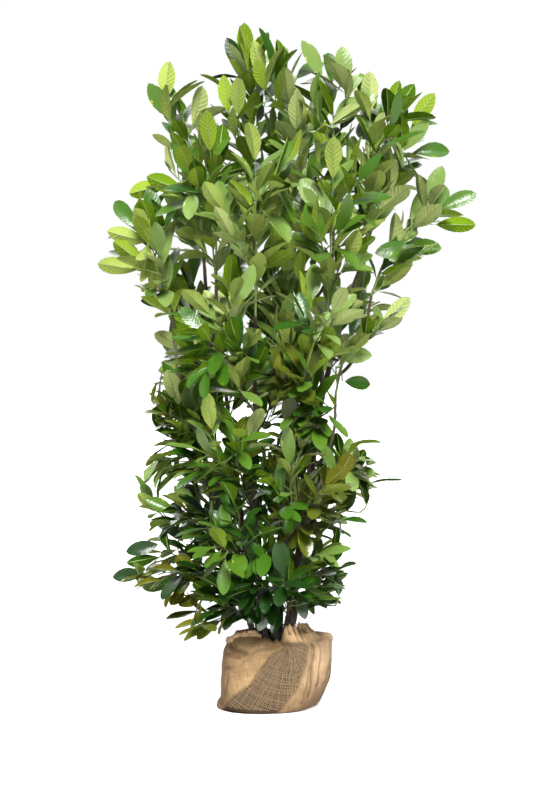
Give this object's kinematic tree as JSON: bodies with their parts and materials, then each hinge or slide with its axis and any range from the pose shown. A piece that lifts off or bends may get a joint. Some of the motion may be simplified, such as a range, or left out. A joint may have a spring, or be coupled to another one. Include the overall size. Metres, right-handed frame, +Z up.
{
  "type": "cherry laurel shrub with wrapped root ball",
  "caption": "Evergreen laurel shrub: a clump of upright leafy stems rising from a squat root ball wrapped in hessian.",
  "frame": {"origin": "centre of the flat underside of the wrapped root ball", "axes": "+Z up along the plant, -Y towards the side the plant is shown from, +X to that viewer's right"},
  "size_m": [1.0916, 0.9131, 2.0392],
  "materials": {
    "hessian": "coarse woven jute, matt",
    "soil": "damp crumbly soil, matt",
    "bark": "dark brown bark, matt",
    "young_bark": "smooth green-brown young bark, satin",
    "foliage": "leathery leaf, satin"
  },
  "bodies": {
    "root": {"bough_back_middle": "young_bark", "bough_crown_right": "young_bark", "bough_left_front": "young_bark", "bough_left_high": "young_bark", "bough_left_lowest": "young_bark", "bough_left_middle": "young_bark", "bough_left_skirt": "young_bark", "bough_right_arch": "young_bark", "bough_right_high": "young_bark", "bough_right_middle": "young_bark", "bough_right_skirt": "young_bark", "hessian_wrap": "hessian", "leaves_back_high": "foliage", "leaves_back_left_high": "foliage", "leaves_back_left_middle": "foliage", "leaves_back_left_skirt": "foliage", "leaves_back_lowest": "foliage", "leaves_back_middle": "foliage", "leaves_back_skirt": "foliage", "leaves_crown_far_right": "foliage", "leaves_crown_left": "foliage", "leaves_crown_middle": "foliage", "leaves_crown_right": "foliage", "leaves_crown_top": "foliage", "leaves_front_high": "foliage", "leaves_front_low": "foliage", "leaves_front_lowest": "foliage", "leaves_front_middle": "foliage", "leaves_front_right_high": "foliage", "leaves_front_right_middle": "foliage", "leaves_front_right_skirt": "foliage", "leaves_front_skirt": "foliage", "leaves_front_waist": "foliage", "leaves_heart": "foliage", "leaves_heart_front": "foliage", "leaves_heart_low": "foliage", "leaves_left_front": "foliage", "leaves_left_high": "foliage", "leaves_left_inner": "foliage", "leaves_left_low": "foliage", "leaves_left_lowest": "foliage", "leaves_left_middle": "foliage", "leaves_left_skirt": "foliage", "leaves_left_waist": "foliage", "leaves_right_arch": "foliage", "leaves_right_high": "foliage", "leaves_right_low": "foliage", "leaves_right_low_front": "foliage", "leaves_right_lowest": "foliage", "leaves_right_middle": "foliage", "leaves_right_skirt": "foliage", "root_ball_soil": "soil", "stem_back": "bark", "stem_back_left": "bark", "stem_front": "bark", "stem_front_right": "bark", "stem_left": "bark", "stem_middle": "bark", "stem_right": "bark", "stem_thick": "bark"}
  },
  "joints": []
}
